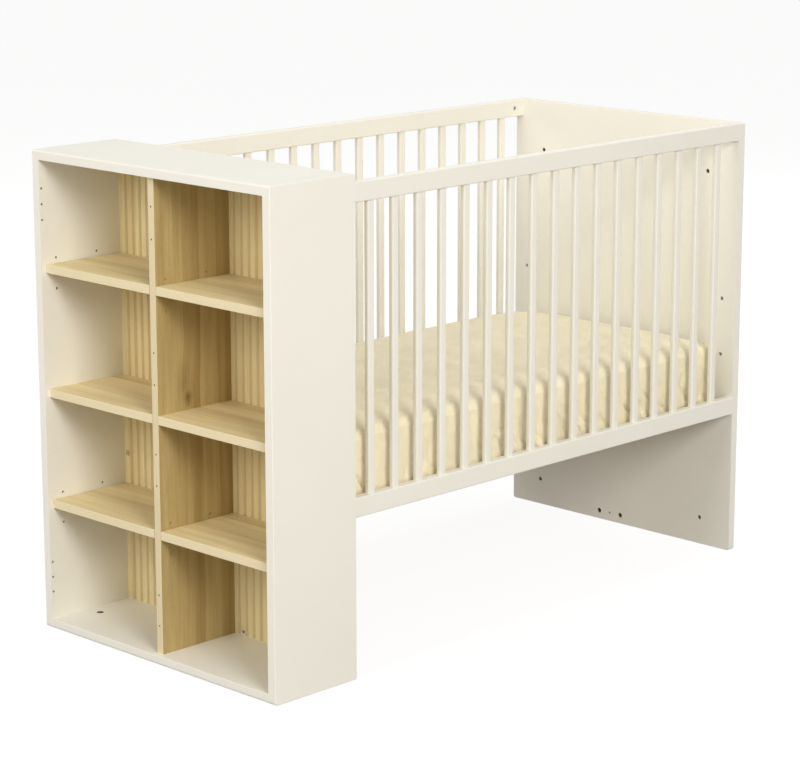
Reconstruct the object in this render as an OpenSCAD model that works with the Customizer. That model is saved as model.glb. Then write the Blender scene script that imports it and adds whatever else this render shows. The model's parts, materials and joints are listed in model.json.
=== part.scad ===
// Crib with an attached changer unit, as an assembly of separate pieces.
// X runs from the changer unit's open front to the crib's far end, Y across, Z up from the floor.
// The origin is on the floor, under the middle of the whole piece.

/* [Mattress] */
// Length of the mattress
mattress_l = 1190; // [1000:10:1300]
// Width of the mattress
mattress_w = 600; // [540:10:700]
// Thickness of the mattress at its edge
mattress_h = 136; // [80:2:140]
// Rise of the mattress's crown above its edge
mattress_crown = 6; // [2:1:14]
// Radius of the mattress's corners, seen from above
mattress_corner_r = 44; // [30:2:90]
// Inward draw of the mattress's long and short sides
mattress_draw = 4; // [0:1:8]
// Gap between the mattress and the side rails
side_gap = 10; // [6:1:16]
// Gap between the mattress and the crib's end panels
end_gap = 10; // [6:1:20]

/* [Changer unit] */
// Height of the changer unit
unit_h = 1000; // [940:10:1100]
// Depth of the changer unit's side panels
unit_d = 218; // [210:1:300]
// Thickness of the side panels, the changer top and the bottom board
board_t = 20; // [18:0.5:25]
// Thickness of the shelves
shelf_t = 18; // [17:0.5:22]
// Thickness of the divider
divider_t = 18; // [18:0.5:25]
// Setback of the shelves and the divider from the unit's front
front_setback = 12; // [6:1:16]
// Thickness of the reeded back board, which is also the crib's head
back_t = 13; // [12.5:0.5:18]
// Spacing of the reeds
reed_pitch = 22; // [16:0.5:30]
// Radius of the cutter that made the grooves between the reeds
groove_r = 5; // [3:0.25:6]
// Depth of those grooves
groove_depth = 3; // [0.5:0.25:3]
// Sideways distance of the back board's spare inserts from its middle
spare_y = 34; // [25:1:60]
// Height of those spare inserts above the floor
spare_z = 28; // [27:1:40]
// Gap at each end of an adjustable shelf
shelf_end_gap = 0.8; // [0.3:0.1:0.9]
// Gap behind an adjustable shelf
shelf_back_gap = 0.8; // [0.3:0.1:0.9]

/* [Shelf pins and hinge holes] */
// Radius of a shelf pin
pin_r = 2.5; // [2:0.25:3]
// Length of a shelf pin inside its hole
pin_in = 7.5; // [6:0.25:8]
// Length of a shelf pin under its shelf
pin_out = 8; // [6:0.5:12]
// Height of the used shelf pins above or below the middle shelf's centre
pin_offset = 246; // [200:2:280]
// Distance of the front shelf pins from the unit's front
pin_setback = 38; // [30:1:50]
// Distance between the front and back shelf pins
pin_span = 105; // [80:1:120]
// Pitch of the rows of holes
hole_pitch = 32; // [25:1:40]
// Radius of a hinge plate hole
hinge_hole_r = 2.5; // [1.5:0.25:3]
// Depth of a hinge plate hole
hinge_hole_depth = 11; // [8:0.5:13]
// Distance of the hinge plate holes from the unit's front
hinge_setback = 6; // [5:0.5:10]
// Distance of the outermost hinge plate hole from the unit's top or bottom
hinge_end = 78; // [60:1:110]
// Radius of the holes in the divider's front edge
edge_hole_r = 2; // [1.5:0.25:3]
// Distance of the inner pairs of those holes from the middle shelf's centre
edge_hole_offset = 70; // [50:1:90]

/* [Crib] */
// Thickness of the crib's end panel
panel_t = 20; // [18:0.5:25]
// Height of the top and bottom rails
rail_h = 40; // [36:1:50]
// Thickness of the rails
rail_t = 20; // [19:0.5:26]
// Distance of the rail dowels below the rail bolts
rail_dowel_drop = 12; // [11:0.5:13]
// Height of the bottom rail's underside above the floor
rail_low_z = 320; // [300:5:330]
// Width of a slat
slat_w = 18; // [14:0.5:26]
// Thickness of a slat
slat_t = 12; // [10:0.5:14]
// Radius of a slat's long edges
slat_round = 4; // [1.5:0.25:4.5]
// Length of a slat inside each rail
slat_tenon = 12; // [8:1:16]
// Radius of the rails' long edges
rail_round = 3; // [1:0.25:4]
// Radius of the boards' edges
edge_r = 1.2; // [0.5:0.1:2]
// Radius of the side and end panels' lower corners
corner_r = 7; // [2:0.5:10]
// Radius of the side and end panels' upper corners
top_r = 4; // [1:0.5:8]
// Sideways distance of the connector holes from the end panel's middle
connector_y = 244; // [150:2:260]
// Height of the lower connector holes
connector_low_z = 62; // [50:1:100]
// Distance of the upper connector holes from the end panel's top
connector_top = 115; // [90:1:150]
// Radius of a connector hole
connector_r = 5; // [3:0.25:6]
// Height of the row of three holes near the floor
foot_hole_z = 20; // [14:1:34]
// Sideways place of the middle one of those three holes
foot_hole_y = 24; // [-60:2:60]
// Radius of the two large holes of that row
foot_hole_r = 6; // [4:0.25:7]
// Radius of the small hole of that row
foot_small_r = 3; // [2:0.25:4]
// Depth of that row of holes
foot_hole_depth = 12; // [8:0.5:14]

/* [Mattress base] */
// Height of the lowest pair of base holes
base_low_z = 326; // [320:1:330]
// Height between two positions of the base
base_step = 128; // [100:2:140]
// Distance of the base holes from the side rails' inner faces
base_hole_inset = 17; // [17:1:30]
// Thickness of a base bracket's steel
bracket_t = 2.5; // [2:0.25:4]
// Width of a base bracket
bracket_w = 30; // [22:1:31]
// Height of a base bracket
bracket_h = 30; // [28:1:46]
// Thickness of the base's frame rails
frame_t = 20; // [18:0.5:26]
// Height of the base's frame rails
frame_h = 27; // [27:1:50]
// Height of the frame's lower corner screws above the rails' undersides
frame_screw_low = 6.5; // [5:0.5:7]
// Distance of the frame's upper corner screws from its lower ones
frame_screw_span = 8; // [7.5:0.5:8.5]
// Thickness of the base's slats
base_slat_t = 10; // [10:0.5:22]
// Width of the base's slats
base_slat_w = 60; // [40:1:80]
// Gap between the base and the side rails
base_side_gap = 4; // [2:0.5:8]
// Gap between the base and the crib's panels
base_end_gap = 10; // [9:0.5:14]

/* [Fasteners] */
// Radius of a wooden dowel
dowel_r = 4; // [3:0.25:4.5]
// Length of a wooden dowel
dowel_len = 30; // [24:1:36]
// Length of a carcass dowel inside a board's face
dowel_in = 12; // [8:0.5:14]
// Length of a rail dowel inside the back board or the end panel
rail_dowel_in = 9; // [7:0.5:11]
// Distance of the front dowels from the unit's front
dowel_front = 60; // [56:1:75]
// Distance of the back dowels from the unit's back
dowel_back = 53; // [46:1:60]
// Distance of the cams from the unit's front
cam_setback = 99; // [88:1:125]
// Radius of a cam
cam_r = 7.5; // [6:0.25:9]
// Height of a cam
cam_h = 14; // [13:0.25:14.5]
// Distance of a cam's centre from the joint
cam_reach = 35; // [28:1:45]
// Length of a cam bolt inside the side panel
cam_bolt_in = 11; // [9:0.5:13]
// Radius of a rail bolt and of a bracket bolt
bolt_r = 3; // [2.5:0.25:4]
// Radius of a rail bolt's head
head_r = 6.5; // [5.5:0.25:7]
// Height of a rail bolt's head
head_h = 4; // [3:0.25:5]
// Radius of a barrel nut
barrel_r = 5; // [4.75:0.25:6]
// Length of a barrel nut
barrel_len = 14; // [11:0.5:15]
// Distance of a barrel nut from the rail's end
barrel_reach = 30; // [24:1:34]
// Radius of a threaded insert
insert_r = 5; // [4.75:0.25:6]
// Length of a threaded insert
insert_len = 9; // [8:0.5:9.5]
// Radius of a bracket bolt's head
pan_r = 5.5; // [5:0.25:6.5]
// Height of a bracket bolt's head
pan_h = 3.5; // [2.5:0.25:4.5]
// Radius of a wood screw's shank
screw_r = 1.75; // [1.25:0.25:2.25]
// Radius of a wood screw's head
screw_head_r = 3.5; // [3:0.25:3.75]
// Length of a back board screw inside the divider or a shelf
back_screw_in = 25; // [15:1:28]
// Length of a slat screw inside the base's frame
slat_screw_in = 9; // [8:0.5:10]
// Length of a corner screw inside the base's long rails
corner_screw_in = 20; // [15:1:30]

/* [Hidden] */
slat_n = 17;
base_slat_n = 12;
base_levels = 3;

$fn = 40;
eps = 0.5;              // how far a cutter starts outside the surface that it cuts
fit = 0.1;              // radial gap round a dowel, cam, pin or tenon in its hole
thread_fit = 0.05;      // radial gap round a bolt in its thread
bolt_fit = 0.25;        // radial gap round a bolt in its clearance hole
end_fit = 0.3;          // gap at the bottom of a blind hole
seat_gap = 0.3;         // gap under a piece that rests on a round pin or on a soft piece's base

// Corner radii of a board's outline, in the order of round_rect. A corner stays sharp where another board
// meets it flush
SHARP = [0, 0, 0, 0];
SOFT = edge_r * [1, 1, 1, 1];
FRONT_SOFT = edge_r * [1, 0, 0, 1];
OUTER_SOFT = edge_r * [0, 0, 1, 1];

// Overall sizes, worked out from the mattress outwards
inner_l = mattress_l + 2 * end_gap;
crib_w = mattress_w + 2 * side_gap + 2 * rail_t;
half_w = crib_w / 2;
unit_w = crib_w + 2 * board_t;
total_l = unit_d + inner_l + panel_t;
crib_h = unit_h - board_t;
mid_z = unit_h / 2;

// Stations along X
x_front = -total_l / 2;
x_inner = x_front + front_setback;
x_head = x_front + unit_d;
x_reeds = x_head - back_t;
x_back_mid = x_head - back_t / 2;
x_foot = x_head + inner_l;

// Rows of holes
pin_rows = [mid_z - pin_offset, mid_z + pin_offset];
pin_cols = [x_front + pin_setback, x_front + pin_setback + pin_span];
dowel_cols = [x_front + dowel_front, x_head - dowel_back];
board_rows = [board_t / 2, mid_z, unit_h - board_t / 2];
base_rows = [for (k = [0:base_levels - 1]) base_low_z + k * base_step];
base_hole_y = half_w - rail_t - base_hole_inset;
back_dowel_rows = [hinge_end + hole_pitch, base_rows[base_levels - 1] - base_step / 2,
    crib_h - hinge_end - hole_pitch];
reeds = floor(half_w / reed_pitch);
back_dowel_y = (floor(reeds / 2) + 0.5) * reed_pitch;
upright_dowels = concat([for (x = dowel_cols) [x, 0]], [for (s = [-1, 1]) [x_back_mid, s * back_dowel_y]]);
back_screw_y = [back_dowel_y - 2 * reed_pitch, back_dowel_y + 3 * reed_pitch];

// Rails, slats and their joints
slat_pitch = inner_l / (slat_n + 1);
rail_top_z = crib_h - rail_h;
rail_mid_y = half_w - rail_t / 2;
rail_rows = [rail_low_z + rail_h / 2, rail_top_z + rail_h / 2];
head_seat = head_h + end_fit;
barrel_slot = 1.2;
tail = 4;               // length of a rail bolt beyond its barrel nut
bolt_short = 1;         // how far a bracket bolt stops short of its insert's end

// Mattress base
ledge_z = base_low_z - bracket_h / 2 + bracket_t;
base_x0 = x_head + base_end_gap;
base_x1 = x_foot - base_end_gap;
base_half = half_w - rail_t - base_side_gap;
frame_top = ledge_z + frame_h;
base_top = frame_top + base_slat_t;
base_slat_pitch = (base_x1 - base_x0 - base_slat_w) / (base_slat_n - 1);
screw_head_h = screw_head_r - screw_r;
back_screw_l = back_t + back_screw_in;
slat_screw_l = base_slat_t + slat_screw_in;
corner_screw_l = frame_t + corner_screw_in;

// Cam joints at each side: [x, height of the cam's open face, turn, depth of the bolt under that face]
cam_x = x_front + cam_setback;
bottom_cam = [cam_x, board_t, [0, 0, 0], board_t / 2];
shelf_cam = [cam_x, mid_z - shelf_t / 2, [0, 180, 0], shelf_t / 2];
top_cam = [cam_x, unit_h - board_t, [0, 180, 0], board_t / 2];
cam_head_r = 3.4;
cam_head_l = 3.8;
cam_shank_r = 2.6;
cam_screw_r = 3;
cam_slot_l = 8;
cam_slot_w = 1.6;
cam_slot_depth = 1.8;
head_gap = 0.6;         // gap round a cam bolt's head inside its cam

function front_slat_name(k) = str("front_slat_", k < 10 ? "0" : "", k);

// ---- small shapes ----

module rod_x(p, r, l) {
    translate(p) rotate([0, 90, 0]) cylinder(r = r, h = l);
}

module rod_y(p, r, l) {
    translate(p) rotate([-90, 0, 0]) cylinder(r = r, h = l);
}

// Rectangle with a radius for each corner, anticlockwise from the one at the origin; 0 is a sharp corner
module round_rect(w, h, r) {
    corners = [[0, 0], [w, 0], [w, h], [0, h]];
    difference() {
        square([w, h]);
        for (k = [0:3]) if (r[k] > 0) translate(corners[k]) rotate(90 * k) difference() {
            translate([-eps, -eps]) square(r[k] + eps);
            translate([r[k], r[k]]) circle(r[k]);
        }
    }
}

// Board with rounded edges. plan, side and front are the corner radii of its outlines seen along Z, Y and X,
// in the order of round_rect, so they round the edges that run along those axes
module board(p, s, plan = SHARP, side = SHARP, front = SHARP) {
    translate(p) intersection() {
        linear_extrude(s.z) round_rect(s.x, s.y, plan);
        translate([0, s.y, 0]) rotate([90, 0, 0]) linear_extrude(s.y) round_rect(s.x, s.z, side);
        rotate([90, 0, 90]) linear_extrude(s.x) round_rect(s.y, s.z, front);
    }
}

// Puts its children on both sides of the middle plane; side is +1 on the far side, -1 on the near side
module sides(which = [-1, 1]) {
    for (s = which) mirror([0, s < 0 ? 1 : 0, 0]) children();
}

// Countersunk wood screw along +Z, its head's face at 0
module wood_screw(l, r = screw_r) {
    translate([0, 0, -l]) cylinder(r = r, h = l - screw_head_h);
    translate([0, 0, -screw_head_h]) cylinder(r1 = r, r2 = screw_head_r, h = screw_head_h);
}

// Hole for that screw
module screw_hole(l, r = screw_r) {
    translate([0, 0, -l - end_fit]) cylinder(r = r + thread_fit, h = l + end_fit);
    translate([0, 0, -screw_head_h - thread_fit])
        cylinder(r1 = r + thread_fit, r2 = screw_head_r + 2 * thread_fit, h = screw_head_h + 2 * thread_fit);
}

// ---- cam joints ----

// Places children at cams: local +Z is out of the cam's open face, +Y points at the side panel
module at_cams(joints, which = [-1, 1]) {
    for (j = joints) {
        sides(which) translate([j[0], half_w - cam_reach, j[1]]) rotate(j[2]) {
            $bolt_depth = j[3];
            children();
        }
    }
}

module cam_pocket() {
    translate([0, 0, -cam_h - end_fit]) cylinder(r = cam_r + fit, h = cam_h + end_fit + eps);
    rod_y([0, 0, -$bolt_depth], cam_head_r + bolt_fit, cam_reach + eps);
}

module cam() {
    difference() {
        translate([0, 0, -cam_h]) cylinder(r = cam_r, h = cam_h - end_fit);
        rod_y([0, -cam_head_r, -$bolt_depth], cam_head_r + bolt_fit, cam_r + cam_head_r + eps);
        for (a = [45, 135]) rotate([0, 0, a]) translate([-cam_slot_l / 2, -cam_slot_w / 2, -cam_slot_depth])
            cube([cam_slot_l, cam_slot_w, cam_slot_depth + eps]);
    }
}

module cam_bolt() {
    rod_y([0, cam_reach, -$bolt_depth], cam_screw_r, cam_bolt_in);
    rod_y([0, 0, -$bolt_depth], cam_shank_r, cam_reach);
    rod_y([0, head_gap - cam_head_r, -$bolt_depth], cam_head_r, cam_head_l);
}

// ---- changer unit ----

// Side panel on the far side; the near one is its mirror image
module side_panel() {
    difference() {
        board([x_front, half_w, 0], [unit_d, board_t, unit_h], plan = OUTER_SOFT,
            side = [corner_r, corner_r, top_r, top_r], front = edge_r * [0, 1, 1, 0]);
        for (k = [0:2], up = [0, 1])
            side_bore(x_front + hinge_setback, abs(up * unit_h - hinge_end - k * hole_pitch),
                hinge_hole_r, hinge_hole_depth);
        for (x = pin_cols, z = pin_rows, k = [-1:1])
            side_bore(x, z + k * hole_pitch, pin_r + fit, pin_in + end_fit);
        for (x = dowel_cols, z = board_rows)
            side_bore(x, z, dowel_r + fit, dowel_in + end_fit);
        for (z = board_rows)
            side_bore(cam_x, z, cam_screw_r + fit, cam_bolt_in + end_fit);
        for (z = back_dowel_rows)
            side_bore(x_back_mid, z, dowel_r + fit, dowel_in + end_fit);
    }
}

module side_bore(x, z, r, depth) {
    rod_y([x, half_w - eps, z], r, depth + eps);
}

module near_side_panel() {
    color("ivory") sides([-1]) side_panel();
}

module far_side_panel() {
    color("ivory") side_panel();
}

// Holes along Y in a board's end at the side panels
module end_dowel_bores(z, which = [-1, 1]) {
    depth = dowel_len - dowel_in + end_fit;
    sides(which) for (x = dowel_cols) rod_y([x, half_w - depth, z], dowel_r + fit, depth + eps);
}

module changer_top() {
    z0 = unit_h - board_t;
    color("ivory") difference() {
        board([x_front, -half_w, z0], [unit_d, crib_w, board_t], side = [edge_r, 0, top_r, top_r]);
        at_cams([top_cam]) cam_pocket();
        end_dowel_bores(z0 + board_t / 2);
        for (p = upright_dowels) translate([p.x, p.y, z0 - eps])
            cylinder(r = dowel_r + fit, h = dowel_in + end_fit + eps);
    }
}

module bottom_board() {
    color("ivory") difference() {
        board([x_front, -half_w, 0], [unit_d, crib_w, board_t], side = [corner_r, corner_r, 0, edge_r]);
        at_cams([bottom_cam]) cam_pocket();
        end_dowel_bores(board_t / 2);
        for (p = upright_dowels) translate([p.x, p.y, board_t - dowel_in - end_fit])
            cylinder(r = dowel_r + fit, h = dowel_in + end_fit + eps);
    }
}

module divider() {
    z1 = unit_h - board_t;
    depth = dowel_len - dowel_in + end_fit;
    color("burlywood") difference() {
        board([x_inner, -divider_t / 2, board_t], [x_reeds - x_inner, divider_t, z1 - board_t],
            plan = FRONT_SOFT);
        for (x = dowel_cols) {
            translate([x, 0, board_t - eps]) cylinder(r = dowel_r + fit, h = depth + eps);
            translate([x, 0, z1 - depth]) cylinder(r = dowel_r + fit, h = depth + eps);
            rod_y([x, -divider_t / 2 - eps, mid_z], dowel_r + fit, divider_t + 2 * eps);
        }
        sides() for (x = pin_cols, z = pin_rows, k = [-1:1])
            rod_y([x, divider_t / 2 - pin_in - end_fit, z + k * hole_pitch],
                pin_r + fit, pin_in + end_fit + eps);
        for (z = edge_hole_rows()) rod_x([x_inner - eps, 0, z], edge_hole_r, hinge_hole_depth + eps);
        at_divider_screws() screw_hole(back_screw_l);
    }
}

// Heights of the holes in the divider's front edge: two pairs above the middle and two below
function edge_hole_rows() = let (far = mid_z - hinge_end, near = edge_hole_offset, pair = 2 * hole_pitch)
    [for (s = [-1, 1], d = [far, far - pair, near + pair, near]) mid_z + s * d];

// Back board of the unit and head of the crib, reeded on the unit's side
module reeded_back() {
    depth = dowel_len - dowel_in + end_fit;
    color("burlywood") difference() {
        translate([x_reeds, -half_w, board_t]) cube([back_t, crib_w, unit_h - 2 * board_t]);
        for (k = [-reeds:reeds]) if (abs(k * reed_pitch) < half_w - 2 * groove_r)
            translate([x_reeds + groove_depth - groove_r, k * reed_pitch, board_t - eps])
                cylinder(r = groove_r, h = unit_h - 2 * board_t + 2 * eps);
        panel_bores(x_head, -1, back_t);
        sides() {
            for (z = back_dowel_rows) rod_y([x_back_mid, half_w - depth, z], dowel_r + fit, depth + eps);
            for (z = [board_t - eps, unit_h - board_t - depth])
                translate([x_back_mid, back_dowel_y, z]) cylinder(r = dowel_r + fit, h = depth + eps);
        }
        at_spare_inserts() rod_x([-eps, 0, 0], insert_r + thread_fit, insert_len + end_fit + eps);
        at_divider_screws() screw_hole(back_screw_l);
        at_shelf_screws() screw_hole(back_screw_l);
    }
}

// Screws from the crib's side into the divider's back edge; local +Z points out of the head
module at_divider_screws() {
    for (z = pin_rows) translate([x_head, 0, z]) rotate([0, 90, 0]) children();
}

module at_shelf_screws() {
    sides() for (y = back_screw_y) translate([x_head, y, mid_z]) rotate([0, 90, 0]) children();
}

module back_screws() {
    color("dimgray") {
        at_divider_screws() wood_screw(back_screw_l);
        at_shelf_screws() wood_screw(back_screw_l);
    }
}

module at_spare_inserts() {
    sides() translate([x_reeds, spare_y, spare_z]) children();
}

// Fixed middle shelf of the far column
module fixed_shelf() {
    depth = dowel_len / 2 + end_fit;
    difference() {
        board([x_inner, divider_t / 2, mid_z - shelf_t / 2],
            [x_reeds - x_inner, half_w - divider_t / 2, shelf_t], side = FRONT_SOFT);
        at_cams([shelf_cam], [1]) cam_pocket();
        end_dowel_bores(mid_z, [1]);
        for (x = dowel_cols) rod_y([x, divider_t / 2 - eps, mid_z], dowel_r + fit, depth + eps);
        at_shelf_screws() screw_hole(back_screw_l);
    }
}

module fixed_shelf_near() {
    color("burlywood") sides([-1]) fixed_shelf();
}

module fixed_shelf_far() {
    color("burlywood") fixed_shelf();
}

// Adjustable shelf of the far column on the pins at height z
module loose_shelf(z) {
    board([x_inner, divider_t / 2 + shelf_end_gap, z + pin_r + seat_gap],
        [x_reeds - shelf_back_gap - x_inner, half_w - divider_t / 2 - 2 * shelf_end_gap, shelf_t],
        side = FRONT_SOFT);
}

module upper_shelf_near() {
    color("burlywood") sides([-1]) loose_shelf(pin_rows[1]);
}

module upper_shelf_far() {
    color("burlywood") loose_shelf(pin_rows[1]);
}

module lower_shelf_near() {
    color("burlywood") sides([-1]) loose_shelf(pin_rows[0]);
}

module lower_shelf_far() {
    color("burlywood") loose_shelf(pin_rows[0]);
}

module shelf_pins() {
    color("dimgray") sides() for (x = pin_cols, z = pin_rows) {
        rod_y([x, half_w - pin_out, z], pin_r, pin_in + pin_out);
        rod_y([x, divider_t / 2 - pin_in, z], pin_r, pin_in + pin_out);
    }
}

module cam_locks() {
    color("slategray") at_cams([bottom_cam, shelf_cam, top_cam]) cam();
}

module cam_bolts() {
    color("silver") at_cams([bottom_cam, shelf_cam, top_cam]) cam_bolt();
}

module carcass_dowels() {
    color("tan") {
        sides() for (x = dowel_cols, z = board_rows)
            rod_y([x, half_w + dowel_in - dowel_len, z], dowel_r, dowel_len);
        sides() for (z = back_dowel_rows)
            rod_y([x_back_mid, half_w + dowel_in - dowel_len, z], dowel_r, dowel_len);
        for (x = dowel_cols) rod_y([x, -(divider_t + dowel_len) / 2, mid_z], dowel_r, divider_t + dowel_len);
        for (p = upright_dowels, z = [board_t - dowel_in, unit_h - board_t + dowel_in - dowel_len])
            translate([p.x, p.y, z]) cylinder(r = dowel_r, h = dowel_len);
    }
}

// ---- crib ----

// Holes that the back board and the end panel share; x is the crib face, out points into the board, t thick
module panel_bores(x, out, t) {
    sides() {
        for (z = rail_rows) {
            translate([x - out * eps, rail_mid_y, z]) rotate([0, out * 90, 0]) {
                cylinder(r = bolt_r + bolt_fit, h = t + 2 * eps);
                translate([0, 0, t - head_seat + eps]) cylinder(r = head_r + bolt_fit, h = head_seat + eps);
            }
            translate([x - out * eps, rail_mid_y, z - rail_dowel_drop]) rotate([0, out * 90, 0])
                cylinder(r = dowel_r + fit, h = rail_dowel_in + end_fit + eps);
        }
        for (z = base_rows) translate([x - out * eps, base_hole_y, z]) rotate([0, out * 90, 0])
            cylinder(r = insert_r + thread_fit, h = insert_len + end_fit + eps);
    }
}

module end_panel() {
    color("ivory") difference() {
        board([x_foot, -half_w, 0], [panel_t, crib_w, crib_h], plan = edge_r * [0, 1, 1, 0],
            side = SOFT, front = [corner_r, corner_r, top_r, top_r]);
        panel_bores(x_foot, 1, panel_t);
        sides() for (z = [connector_low_z, crib_h - connector_top])
            rod_x([x_foot - eps, connector_y, z], connector_r, panel_t + 2 * eps);
        for (k = [-1, 1])
            rod_x([x_foot - eps, foot_hole_y + k * hole_pitch, foot_hole_z],
                foot_hole_r, foot_hole_depth + eps);
        rod_x([x_foot - eps, foot_hole_y, foot_hole_z], foot_small_r, foot_hole_depth + eps);
    }
}

module slat_outline(gap = 0) {
    w = slat_w + 2 * gap;
    t = slat_t + 2 * gap;
    translate([-w / 2, -t / 2]) round_rect(w, t, (slat_round + gap) * [1, 1, 1, 1]);
}

// Rail on the far side with its underside at z; face is +1 where the slats enter its top, -1 its underside
module rail(z, face) {
    mortise_z = face > 0 ? z + rail_h - slat_tenon - end_fit : z - eps;
    nut_depth = rail_t / 2 + barrel_len / 2 + end_fit;
    difference() {
        translate([x_head, half_w - rail_t, z]) rotate([90, 0, 90]) linear_extrude(inner_l)
            round_rect(rail_t, rail_h, rail_round * [1, 1, 1, 1]);
        for (k = [1:slat_n]) translate([x_head + k * slat_pitch, rail_mid_y, mortise_z])
            linear_extrude(slat_tenon + end_fit + eps) slat_outline(fit);
        for (end = [0, 1]) {
            bolt_l = barrel_reach + tail + end_fit;
            dowel_l = dowel_len - rail_dowel_in + end_fit;
            rod_x([end ? x_foot - bolt_l : x_head - eps, rail_mid_y, z + rail_h / 2],
                bolt_r + bolt_fit, bolt_l + eps);
            rod_x([end ? x_foot - dowel_l : x_head - eps, rail_mid_y, z + rail_h / 2 - rail_dowel_drop],
                dowel_r + fit, dowel_l + eps);
            rod_y([end ? x_foot - barrel_reach : x_head + barrel_reach, half_w - rail_t - eps, z + rail_h / 2],
                barrel_r + fit, nut_depth + eps);
        }
    }
}

module front_top_rail() {
    color("ivory") sides([-1]) rail(rail_top_z, -1);
}

module front_bottom_rail() {
    color("ivory") sides([-1]) rail(rail_low_z, 1);
}

module rear_top_rail() {
    color("ivory") rail(rail_top_z, -1);
}

module rear_bottom_rail() {
    color("ivory") rail(rail_low_z, 1);
}

// The k-th slat of the far side, counted from the changer unit
module slat(k) {
    z0 = rail_low_z + rail_h - slat_tenon;
    translate([x_head + k * slat_pitch, rail_mid_y, z0])
        linear_extrude(rail_top_z + slat_tenon - z0) slat_outline();
}

module front_slat(k) {
    color("ivory") sides([-1]) slat(k);
}

module rear_slats() {
    color("ivory") for (k = [1:slat_n]) slat(k);
}

// Bolt from the outer face of a board t thick into its rail's barrel nut; local +Z points along the rail
module rail_bolt(t) {
    difference() {
        union() {
            translate([0, 0, end_fit]) cylinder(r = head_r, h = head_h);
            translate([0, 0, end_fit]) cylinder(r = bolt_r, h = t + barrel_reach + tail - end_fit);
        }
        cylinder(r = bolt_r * 0.85, h = head_h * 0.7, $fn = 6);
    }
}

module rail_bolts() {
    color("silver") sides() for (z = rail_rows) {
        translate([x_reeds, rail_mid_y, z]) rotate([0, 90, 0]) rail_bolt(back_t);
        translate([x_foot + panel_t, rail_mid_y, z]) rotate([0, -90, 0]) rail_bolt(panel_t);
    }
}

module barrel_nuts() {
    color("silver") sides() for (x = [x_head + barrel_reach, x_foot - barrel_reach], z = rail_rows)
        difference() {
            rod_y([x, rail_mid_y - barrel_len / 2, z], barrel_r, barrel_len);
            rod_x([x - barrel_r - eps, rail_mid_y, z], bolt_r + thread_fit, 2 * barrel_r + 2 * eps);
            translate([x - barrel_r, rail_mid_y - barrel_len / 2 - eps, z - barrel_slot / 2])
                cube([2 * barrel_r, barrel_slot + eps, barrel_slot]);
        }
}

module rail_dowels() {
    color("tan") sides() for (z = rail_rows, x = [x_head - rail_dowel_in, x_foot + rail_dowel_in - dowel_len])
        rod_x([x, rail_mid_y, z - rail_dowel_drop], dowel_r, dowel_len);
}

module threaded_inserts() {
    color("silver") {
        sides() for (z = base_rows, x = [x_head - insert_len, x_foot]) translate([x, base_hole_y, z]) insert();
        at_spare_inserts() insert();
    }
}

module insert() {
    difference() {
        rod_x([0, 0, 0], insert_r, insert_len);
        rod_x([-eps, 0, 0], bolt_r + thread_fit, insert_len + 2 * eps);
    }
}

// ---- mattress base ----

// Places children at the low base holes of the back board and the end panel: local +X points into the crib
module at_brackets() {
    sides() {
        translate([x_head, base_hole_y, base_low_z]) children();
        translate([x_foot, base_hole_y, base_low_z]) mirror([1, 0, 0]) children();
    }
}

module base_brackets() {
    ledge = base_end_gap + frame_t + bracket_t;
    color("gainsboro") at_brackets() difference() {
        translate([0, -bracket_w / 2, -bracket_h / 2]) union() {
            cube([bracket_t, bracket_w, bracket_h]);
            cube([ledge, bracket_w, bracket_t]);
        }
        rod_x([-eps, 0, 0], bolt_r + bolt_fit, bracket_t + 2 * eps);
    }
}

module bracket_bolts() {
    color("silver") at_brackets() difference() {
        union() {
            rod_x([bracket_t, 0, 0], pan_r, pan_h);
            rod_x([bolt_short - insert_len, 0, 0], bolt_r, insert_len - bolt_short + bracket_t);
        }
        translate([bracket_t + pan_h * 0.4, 0, 0]) rotate([0, 90, 0])
            cylinder(r = pan_r * 0.45, h = pan_h, $fn = 6);
    }
}

module base_end_rail(x) {
    difference() {
        board([x, -base_half, ledge_z], [frame_t, 2 * base_half, frame_h], side = SOFT);
        at_corner_screws() screw_hole(corner_screw_l);
    }
}

module base_side_rail() {
    difference() {
        board([base_x0 + frame_t, base_half - frame_t, ledge_z],
            [base_x1 - base_x0 - 2 * frame_t, frame_t, frame_h], front = SOFT);
        at_corner_screws() screw_hole(corner_screw_l);
        at_slat_screws() screw_hole(slat_screw_l);
    }
}

// Two screws through each end of the base's end rails; local +Z points out of the head
module at_corner_screws() {
    sides() for (z = [frame_screw_low, frame_screw_low + frame_screw_span]) {
        translate([base_x0, base_half - frame_t / 2, ledge_z + z]) rotate([0, -90, 0]) children();
        translate([base_x1, base_half - frame_t / 2, ledge_z + z]) rotate([0, 90, 0]) children();
    }
}

module at_slat_screws() {
    x0 = base_x0 + base_slat_w / 2;
    sides() for (k = [0:base_slat_n - 1])
        translate([x0 + k * base_slat_pitch, base_half - frame_t / 2, base_top]) children();
}

module base_head_rail() {
    color("wheat") base_end_rail(base_x0);
}

module base_foot_rail() {
    color("wheat") base_end_rail(base_x1 - frame_t);
}

module base_near_rail() {
    color("wheat") sides([-1]) base_side_rail();
}

module base_far_rail() {
    color("wheat") base_side_rail();
}

module base_slats() {
    color("wheat") difference() {
        for (k = [0:base_slat_n - 1])
            translate([base_x0 + k * base_slat_pitch, -base_half, frame_top])
                cube([base_slat_w, 2 * base_half, base_slat_t]);
        at_slat_screws() screw_hole(slat_screw_l);
    }
}

module base_screws() {
    color("silver") {
        at_corner_screws() wood_screw(corner_screw_l);
        at_slat_screws() wood_screw(slat_screw_l);
    }
}

// ---- mattress ----

// Points of the mattress's outline, drawn in by inset; the sides bow inwards by draw
arc_steps = 7;
long_steps = 10;
short_steps = 5;

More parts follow.
